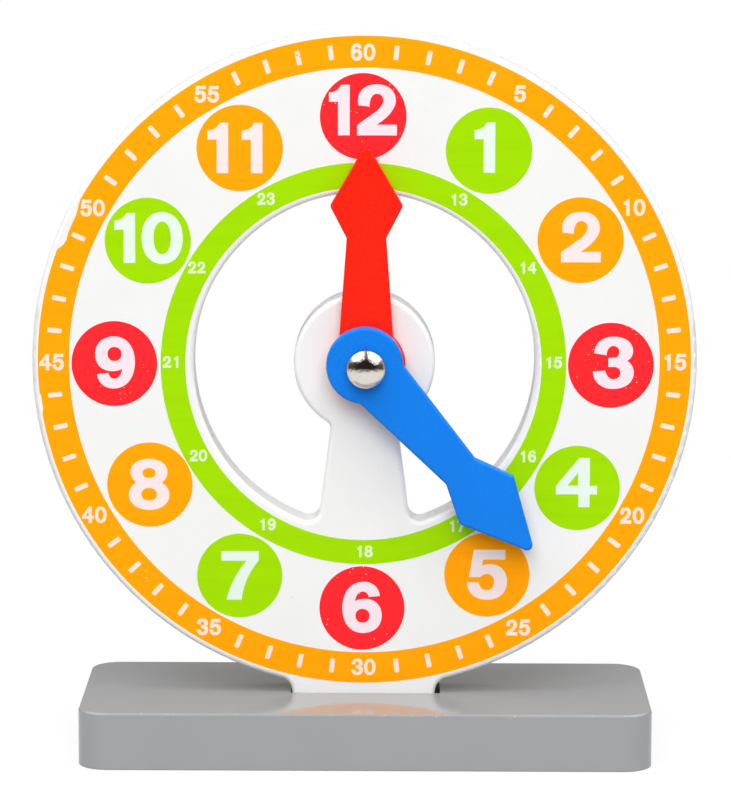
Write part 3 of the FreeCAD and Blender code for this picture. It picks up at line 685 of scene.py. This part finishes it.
class CLOCK_OT_bands(bpy.types.Operator):
    """Print the minute band and the 24-hour band"""

    bl_idname = "clock.bands"
    bl_label = "Bands"

    def execute(self, context):
        sizes, finish = context.scene.clock_print, context.scene.clock_finish
        centre = clock_point(0, 0, sizes.orange_shift)
        outer = worn_circle(centre, sizes.minute_band_outer, WORN_ANGLES, WORN_DEPTHS)
        inner = worn_circle(centre, sizes.minute_band_inner, (0, 360), (0, 0))
        add_film("minute_band", [[outer, inner]], DIAL_FRONT, sizes.ink, sizes.ink_edge,
                 ink(finish, "orange_ink", finish.ink_orange, finish.board_white))
        centre = clock_point(0, 0, sizes.green_shift)
        edges = [round_outline(centre, radius, count=720)
                 for radius in (sizes.day_band_outer, sizes.day_band_inner)]
        add_film("day_band", [edges], DIAL_FRONT, sizes.ink, sizes.ink_edge,
                 ink(finish, "green_ink", finish.ink_green, finish.board_white))
        return {"FINISHED"}


def disc_inks(sizes, finish):
    """The inks of the hour discs: name, colour, and the middle of the disc of each hour
    that it prints."""
    for first, name in enumerate(("red", "green", "orange")):
        landed = getattr(sizes, f"{name}_shift")
        middles = {hour: clock_point(sizes.disc_circle, 30 * hour, landed)
                   for hour in range(first, 12, 3)}
        yield name, getattr(finish, f"ink_{name}"), middles


class CLOCK_OT_discs(bpy.types.Operator):
    """Print the twelve hour discs"""

    bl_idname = "clock.discs"
    bl_label = "Hour discs"

    def execute(self, context):
        sizes, finish = context.scene.clock_print, context.scene.clock_finish
        for name, rgb, middles in disc_inks(sizes, finish):
            shapes = [[round_outline(middle, sizes.disc_radius)] for middle in middles.values()]
            add_film(f"hour_discs_{name}", shapes, DIAL_FRONT, sizes.ink, sizes.ink_edge,
                     ink(finish, f"{name}_disc_ink", rgb, finish.board_white,
                         clean=0.44 if name == "red" else 0.64))
        return {"FINISHED"}


# For each hour: its figures, and in millimetres how far to the right of the middle of
# its disc each one stands and how far above it their baselines are.
HOUR_FIGURES = {
    12: (("1", -6.5, -6.23), ("2", 4.05, -6.23)),
    1: (("1", -0.06, -7.27),), 2: (("2", -0.32, -7.32),), 3: (("3", 0.2, -7.73),),
    4: (("4", -0.06, -6.47),), 5: (("5", -0.32, -8.37),), 6: (("6", 0.2, -8.28),),
    7: (("7", -0.06, -8.22),), 8: (("8", -0.32, -8.37),), 9: (("9", 0.2, -8.18),),
    10: (("1", -6.21, -7.42), ("0", 4.74, -7.57)),
    11: (("1", -5.82, -8.27), ("1", 5.43, -8.27)),
}

# What the ink under it does to the white ink.
WHITE_ON_DISC = {"red": (0.945, 0.872, 0.934), "green": (0.80, 1.02, 0.89),
                 "orange": (0.966, 0.888, 0.868)}
WHITE_ON_MINUTE_BAND = (1.04, 0.88, 0.72)
WHITE_ON_DAY_BAND = (0.77, 1.06, 0.62)


class CLOCK_OT_hour_figures(bpy.types.Operator):
    """Print the large figures on the hour discs"""

    bl_idname = "clock.hour_figures"
    bl_label = "Hour figures"

    def execute(self, context):
        sizes, finish = context.scene.clock_print, context.scene.clock_finish
        for name, under, middles in disc_inks(sizes, finish):
            shapes = []
            for hour, middle in middles.items():
                for figure, right, baseline in HOUR_FIGURES[hour or 12]:
                    corner = middle + np.array([right, baseline]) * MM
                    shapes.append([corner + loop * MM for loop in figure_outlines(figure)])
            white = tint(finish.ink_white, WHITE_ON_DISC[name])
            add_film(f"hour_figures_{name}", shapes, DIAL_FRONT - sizes.ink, sizes.ink,
                     sizes.ink_edge,
                     ink(finish, f"white_ink_on_{name}", white, under, tone=0.012))
        return {"FINISHED"}


# Each minute label stands on the minute circle; how far off its middle is, in
# millimetres to the right and up.
MINUTE_LABELS = (("60", -0.75, -0.15), ("5", -0.7, 0.2), ("10", -0.9, 0.55),
                 ("15", -0.45, 0.7), ("20", 0.1, 0.5), ("25", 0.15, 0.05),
                 ("30", -0.05, 0.1), ("35", -0.35, -0.2), ("40", -0.65, 0.1),
                 ("45", -0.65, 0.0), ("50", -0.55, -0.2), ("55", -0.45, -0.3))

# The same for the figures 13 to 24, about the place where the green ink landed.
DAY_LABELS = (("24", -0.4, 0.7), ("13", -0.35, 0.4), ("14", -0.55, 0.95), ("15", -0.2, 1.0),
              ("16", 0.0, 1.0), ("17", -0.3, 0.5), ("18", 0.4, 0.25), ("19", -0.35, 0.8),
              ("20", -0.1, 0.9), ("21", -0.4, 0.75), ("22", -0.4, 0.7), ("23", -0.65, 0.45))

# The lettering of both, as label_ring takes it.
MINUTE_LETTERING = (0.3265, 0.288, 4.23)
DAY_LETTERING = (0.235, 0.207, 3.04)

# Where the ticks' white ink landed, in millimetres and in degrees round the dial.
TICKS_LANDED = np.array([-0.16, 0.16]) * MM
TICKS_TURNED = -0.19

# Flaws in the ticks: radius in millimetres, clock angle, size in millimetres, and seed.
TICK_FLAWS = ((101.0, 312.35, 0.42, 0.3), (104.1, 347.6, 0.33, 1.7),
              (103.4, 348.1, 0.22, 2.9), (104.3, 354.2, 0.3, 4.1),
              (102.7, 113.9, 0.24, 5.3))


class CLOCK_OT_minute_marks(bpy.types.Operator):
    """Print the minute figures and ticks, and their few flaws"""

    bl_idname = "clock.minute_marks"
    bl_label = "Minute figures and ticks"

    def execute(self, context):
        sizes, finish = context.scene.clock_print, context.scene.clock_finish
        white = tint(finish.ink_white, WHITE_ON_MINUTE_BAND)
        paint = ink(finish, "white_ink_on_minute_band", white, finish.ink_orange, tone=0.015)
        on_band, edge = DIAL_FRONT - sizes.ink, sizes.ink_edge / 2
        labels = label_ring(MINUTE_LABELS, sizes.minute_circle, MINUTE_LETTERING)
        add_film("minute_figures", labels, on_band, sizes.ink, edge, paint)

        angles = [6 * minute + TICKS_TURNED for minute in range(60) if minute % 5]
        ticks = [[tick_outline(clock_point(sizes.tick_middle, angle, TICKS_LANDED), angle,
                               sizes.tick_width / 2, sizes.tick_length / 2)]
                 for angle in angles]
        add_film("minute_ticks", ticks, on_band, sizes.ink, edge, paint)

        flaws = [[blot_outline(clock_point(radius * MM, angle), size * MM, seed)]
                 for radius, angle, size, seed in TICK_FLAWS]
        add_film("tick_flaws", flaws, on_band - sizes.ink, sizes.ink / 3, sizes.ink_edge / 4,
                 ink(finish, "orange_ink_in_flaws", finish.ink_orange, white))
        return {"FINISHED"}


class CLOCK_OT_day_figures(bpy.types.Operator):
    """Print the figures 13 to 24 on the 24-hour band"""

    bl_idname = "clock.day_figures"
    bl_label = "24-hour figures"

    def execute(self, context):
        sizes, finish = context.scene.clock_print, context.scene.clock_finish
        white = tint(finish.ink_white, WHITE_ON_DAY_BAND)
        labels = label_ring(DAY_LABELS, sizes.day_circle, DAY_LETTERING,
                            (-0.35 * MM, -0.58 * MM))
        add_film("day_figures", labels, DIAL_FRONT - sizes.ink, sizes.ink, sizes.ink_edge / 2,
                 ink(finish, "white_ink_on_day_band", white, finish.ink_green, tone=0.015))
        return {"FINISHED"}


def turned_surface(name, radii, along, material, thread, around):
    """A surface turned about the bolt's axis, which runs front to back.

    Point (i, j) lies at the profile's radius i and depth i, at angle j round the axis,
    and thread adds to each radius a function of depth and angle. The first and the last
    radius are zero, and each is closed by a fan about one point.
    """
    angle = np.linspace(0, 2 * np.pi, around, endpoint=False)
    inner = np.asarray(radii)[1:-1, None] * np.ones((1, around))
    depth = np.asarray(along)[1:-1, None] * np.ones((1, around))
    inner = inner + thread(depth, angle[None, :])
    grid = np.stack([BOLT_X + inner * np.cos(angle), depth, DIAL_Z + inner * np.sin(angle)], -1)
    poles = [[BOLT_X, along[0], DIAL_Z], [BOLT_X, along[-1], DIAL_Z]]
    points = np.concatenate([poles[:1], grid.reshape(-1, 3), poles[1:]])
    j = np.arange(around)
    after = (j + 1) % around
    last = 1 + (len(grid) - 1) * around
    front = np.stack([np.zeros(around, int), 1 + j, 1 + after], -1)
    back = np.stack([np.full(around, len(points) - 1), last + after, last + j], -1)
    piece = add_piece(name, points, [ring_faces(around, len(grid), 1), front, back], material,
                      smooth=True)
    check_closed(piece)
    return piece


class CLOCK_OT_bolt(bpy.types.Operator):
    """Turn the dome-headed bolt with its thread and plate it"""

    bl_idname = "clock.bolt"
    bl_label = "Bolt"

    def execute(self, context):
        finish = context.scene.clock_finish
        low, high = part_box("pivot_bolt")
        head = round((high.x - low.x) / 2, 5) - 0.2 * MM
        tip, tail = round(low.y, 5), round(high.y, 5)
        seat, rim, shank = tip + 7.8 * MM, 4.6 * MM, 2.5 * MM
        rise = seat - rim - tip
        ball = (head ** 2 + rise ** 2) / (2 * rise)
        swing = np.linspace(0, math.acos(1 - rise / ball), 40)
        hold, under = 0.04 * MM, 0.5 * MM
        curl = np.linspace(0, math.pi / 2, 8)[1:]
        pitch, depth, chamfer = 0.8 * MM, 0.45 * MM, 0.5 * MM
        start = tail - 8.0 * MM
        threaded = np.arange(start, tail - hold, 0.05 * MM)
        radii = np.concatenate([
            ball * np.sin(swing), [head, head], head - under * (1 - np.cos(curl)),
            [shank + hold, shank, shank],
            np.full(len(threaded), shank), [shank - 2 * hold, 0.8 * shank, 0.0]])
        along = np.concatenate([
            tip + ball * (1 - np.cos(swing)),
            [seat - rim + hold, seat - under], seat - under * (1 - np.sin(curl)),
            [seat, seat + hold, tail - 8.1 * MM],
            threaded, [tail - hold / 2, tail, tail]])

        def thread(y, angle):
            """How far below the shank: a triangle wave along the bolt that climbs one
            pitch in a turn, faded in over a millimetre, and no less than the chamfer."""
            climb = (y - tail) / pitch - angle / (2 * np.pi)
            groove = depth * 2 * np.abs(climb - np.floor(climb) - 0.5)
            fade = np.clip((y - start) / (1.0 * MM), 0, 1)
            tip_cut = np.clip(y - (tail - chamfer), 0, chamfer)
            return -np.maximum(groove * fade, tip_cut)

        plating = plated("nickel_plate", finish.nickel, roughness=0.12, wobble=1250.0,
                         microns=110.0, scratches=0.1)
        piece = turned_surface("dome_bolt", radii, along, plating, thread, around=144)
        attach(piece, "dial")
        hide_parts("pivot_bolt")
        return {"FINISHED"}


class CLOCK_OT_fixings(bpy.types.Operator):
    """Finish the washers, the disc spring and the lock nut"""

    bl_idname = "clock.fixings"
    bl_label = "Washers and nut"

    def execute(self, context):
        finish = context.scene.clock_finish
        zinc = plated("zinc_plate", finish.zinc, roughness=0.3, wobble=420.0, microns=7.0,
                      scratches=0.18)
        nylon = lacquer("moulded_nylon", finish.nylon, roughness=0.48, peel=900.0,
                        microns=4.0, tone=0.02)
        for node in ("back_washer", "spring_washer", "lock_nut"):
            dress(node, zinc)
        for node in ("hub_washer", "hand_washer", "nut_insert"):
            dress(node, nylon)
        return {"FINISHED"}


# ---- studio

def mix_shaders(tree, factor, first, second):
    """The first shader where the factor is 0, the second where it is 1."""
    mix = add_node(tree, "ShaderNodeMixShader", Fac=factor)
    join(tree, mix.inputs[1], first)
    join(tree, mix.inputs[2], second)
    return mix.outputs[0]


def by_ray(tree, seen, otherwise):
    """Shows one shader to camera, glossy and transmission rays and another to the rest."""
    rays = add_node(tree, "ShaderNodeLightPath").outputs
    either = maths(tree, "MAXIMUM", rays["Is Camera Ray"], rays["Is Glossy Ray"])
    any_of = maths(tree, "MAXIMUM", either, rays["Is Transmission Ray"])
    return mix_shaders(tree, any_of, otherwise, seen)


def floor_material():
    """Pale paper. Where it is seen it is lifted nearly to white and keeps some of the
    clock's shadow, and further out it is lifted all the way; the light that it throws
    back is a greyer paper's, which keeps the light on the clock even."""
    material, tree, where = start_material("studio_paper")
    paper, greyer = (add_node(tree, "ShaderNodeBsdfDiffuse", Color=(tone, tone, tone)).outputs[0]
                     for tone in (0.78, 0.4))
    lift = add_node(tree, "ShaderNodeEmission", Color=(1.0, 1.0, 1.0)).outputs[0]
    away = add_node(tree, "ShaderNodeVectorMath", operation="LENGTH", Vector=where)
    lifted = ranged(tree, away.outputs["Value"], 0.88, 1.0, 0.12, 0.6)
    seen = mix_shaders(tree, lifted, paper, lift)
    add_node(tree, "ShaderNodeOutputMaterial", Surface=by_ray(tree, seen, greyer))
    return material


def add_floor():
    """A round sheet: radius times the cosine and the sine, out to twelve metres."""
    count = 96
    radius = np.array([0.3, 1.0, 3.0, 12.0])[:, None]
    t = np.linspace(0, 2 * np.pi, count, endpoint=False)[None, :]
    grid = np.stack([radius * np.cos(t), radius * np.sin(t), 0 * radius * t], -1).reshape(-1, 3)
    points = np.concatenate([[[0.0, 0.0, 0.0]], grid])
    j = np.arange(count)
    fan = np.stack([np.zeros(count, int), 1 + j, 1 + (j + 1) % count], -1)
    floor = add_piece("studio_floor", points, [ring_faces(count, len(radius), 1), fan],
                      floor_material())


# How high the dark surroundings reach, in degrees, at bearings from straight in front:
# between these the softboxes show.
DARK_BEARINGS = (-180, -165, -150, -142, -130, -115, -88, -55, -37, -27, -21, -15, 0,
                 9, 14, 20, 26, 33, 43, 66, 106, 127, 138, 148, 162, 180)
DARK_HEIGHTS = (90, 86, 66, 50, 38, 27, 26, 33, 37, 42, 54, 66, 72,
                65, 56, 49, 41, 30, 24, 20, 24, 34, 48, 64, 86, 90)


def dark_material():
    """A faint warm glow, weakest in front and stronger towards the back."""
    material, tree, where = start_material("studio_dark")
    depth = add_node(tree, "ShaderNodeSeparateXYZ", Vector=where).outputs["Y"]
    strength = maths(tree, "ADD", ranged(tree, depth, 0.22, 1.5, -0.8, 0.2),
                     ranged(tree, depth, 0.0, 3.2, 0.4, 0.8))
    glow = add_node(tree, "ShaderNodeEmission", Color=(0.075, 0.07, 0.064), Strength=strength)
    add_node(tree, "ShaderNodeOutputMaterial", Surface=glow.outputs[0])
    return material


def add_surroundings():
    """The dark room round the softboxes, which only polished surfaces see.

    A part of a ball about the bolt: at each bearing it runs from the floor's edge up to
    the height read off the two rows above. Overhead a strip of the same ball, 0.1 m to
    each side, fills the gap between the softboxes.
    """
    count, rows, radius, floor_edge = 180, 24, 0.95, -9.5
    bearing = np.linspace(-180, 180, count, endpoint=False)
    top = np.interp(bearing, DARK_BEARINGS, DARK_HEIGHTS)[None, :]
    climb = np.linspace(0, 1, rows)[:, None]
    height = np.radians(floor_edge + climb * (top - floor_edge))
    a = np.radians(bearing)[None, :]
    wall = np.stack([radius * np.sin(a) * np.cos(height), -radius * np.cos(a) * np.cos(height),
                     DIAL_Z + radius * np.sin(height)], -1)
    wide, deep = 9, 24
    side = np.linspace(-0.1, 0.1, wide)[None, :]
    depth = np.linspace(-0.4, 0.4, deep)[:, None]
    strip = np.stack([side + 0 * depth, depth + 0 * side,
                      DIAL_Z + np.sqrt(radius ** 2 - side ** 2 - depth ** 2)], -1)
    corner = count * rows + np.arange(deep - 1)[:, None] * wide + np.arange(wide - 1)[None, :]
    quads = np.stack([corner, corner + 1, corner + wide + 1, corner + wide], -1).reshape(-1, 4)
    hood = add_piece("studio_dark_room",
                     np.concatenate([wall.reshape(-1, 3), strip.reshape(-1, 3)]),
                     [ring_faces(count, rows), quads], dark_material())
    for ray in ("camera", "diffuse", "shadow", "transmission", "volume_scatter"):
        setattr(hood, f"visible_{ray}", False)


def add_lamp(name, centre, aim, size, watts, in_gloss):
    """A flat softbox at centre that faces aim, with its long side level."""
    data = bpy.data.lights.new(name, "AREA")
    data.shape = "RECTANGLE"
    data.size, data.size_y = size
    data.energy = watts
    lamp = add_object(name, data)
    toward = Vector(aim) - Vector(centre)
    lamp.rotation_euler = toward.normalized().to_track_quat("-Z", "Y").to_euler()
    lamp.location = centre
    lamp.visible_camera = False
    lamp.visible_glossy = in_gloss


def bearing_point(bearing, height, distance):
    """A point seen from the bolt at a bearing from straight in front, and a height."""
    a, h = math.radians(bearing), math.radians(height)
    return (distance * math.sin(a) * math.cos(h), -distance * math.cos(a) * math.cos(h),
            DIAL_Z + distance * math.sin(h))


def add_sky(strength):
    """White where it is seen, and a weaker light from everywhere on what it lights."""
    world = bpy.data.worlds.new("studio_sky")
    tree = bare_tree(world)
    white, room = (add_node(tree, "ShaderNodeBackground", Color=(1.0, 1.0, 1.0),
                            Strength=level).outputs[0] for level in (1.0, strength))
    add_node(tree, "ShaderNodeOutputWorld", Surface=by_ray(tree, white, room))
    bpy.context.scene.world = world


def add_camera(studio):
    """The camera: its look direction from yaw and pitch, then rolled about it."""
    yaw, pitch, roll = studio.camera_yaw, studio.camera_pitch, studio.camera_roll
    forward = Vector((math.sin(yaw) * math.cos(pitch), math.cos(yaw) * math.cos(pitch),
                      math.sin(pitch)))
    level = Vector((math.cos(yaw), -math.sin(yaw), 0.0))
    up = level.cross(forward)
    right = math.cos(roll) * level + math.sin(roll) * up
    up = math.cos(roll) * up - math.sin(roll) * level
    data = bpy.data.cameras.new("studio_camera")
    data.lens, data.sensor_width, data.sensor_fit = studio.camera_lens, 36.0, "AUTO"
    data.clip_start, data.clip_end = 0.05, 60.0
    camera = add_object("studio_camera", data)
    axes = Matrix((right, up, -forward)).transposed().to_4x4()
    camera.matrix_world = Matrix.Translation(studio.camera_place) @ axes
    bpy.context.scene.camera = camera


class CLOCK_OT_studio(bpy.types.Operator):
    """Set up the floor, the softboxes, the sky and the camera"""

    bl_idname = "clock.studio"
    bl_label = "Studio"

    def execute(self, context):
        studio = context.scene.clock_studio
        context.scene.view_settings.view_transform = "Standard"
        add_floor()
        add_surroundings()
        softbox = studio.box_distance, (studio.box_length, studio.box_width), studio.box_power
        high = 5.4, (3.24, 2.43), studio.high_power
        fill = 4.7, (3.6, 3.2), studio.fill_power
        for name, bearing, height, (distance, size, watts), in_gloss in (
                ("softbox_left", -92, 55, softbox, True),
                ("softbox_right", 90, 54, softbox, True),
                ("high_left", -45, 66, high, False),
                ("high_right", 45, 66, high, False),
                ("front_fill", 0, 33, fill, False)):
            add_lamp(name, bearing_point(bearing, height, distance), (0.0, 0.0, DIAL_Z), size,
                     watts, in_gloss)
        add_sky(studio.sky)
        add_camera(studio)
        return {"FINISHED"}


# ---- panel and registration

OPERATORS = (CLOCK_OT_studio, CLOCK_OT_base, CLOCK_OT_dial, CLOCK_OT_bands, CLOCK_OT_discs,
             CLOCK_OT_hour_figures, CLOCK_OT_minute_marks, CLOCK_OT_day_figures,
             CLOCK_OT_hands, CLOCK_OT_bolt, CLOCK_OT_fixings)
SETTINGS = {"clock_print": ClockPrint, "clock_finish": ClockFinish,
            "clock_studio": ClockStudio}


class CLOCK_PT_panel(bpy.types.Panel):
    """Lists the clock's pieces, sizes and colours"""

    bl_idname = "CLOCK_PT_panel"
    bl_label = "Teaching clock"
    bl_space_type = "VIEW_3D"
    bl_region_type = "UI"
    bl_category = "Clock"

    def draw(self, context):
        for operator in OPERATORS:
            self.layout.operator(operator.bl_idname)
        for group in SETTINGS:
            box = self.layout.box()
            settings = getattr(context.scene, group)
            for name in settings.__annotations__:
                box.prop(settings, name)


CLASSES = (*SETTINGS.values(), *OPERATORS, CLOCK_PT_panel)


def register():
    for cls in CLASSES:
        bpy.utils.register_class(cls)
    for name, group in SETTINGS.items():
        setattr(bpy.types.Scene, name, PointerProperty(type=group))


def unregister():
    for name in SETTINGS:
        delattr(bpy.types.Scene, name)
    for cls in reversed(CLASSES):
        bpy.utils.unregister_class(cls)


def main():
    """Makes every piece."""
    register()
    for operator in OPERATORS:
        name = operator.bl_idname.split(".")[1]
        getattr(bpy.ops.clock, name)()


if __name__ == "__main__":
    main()
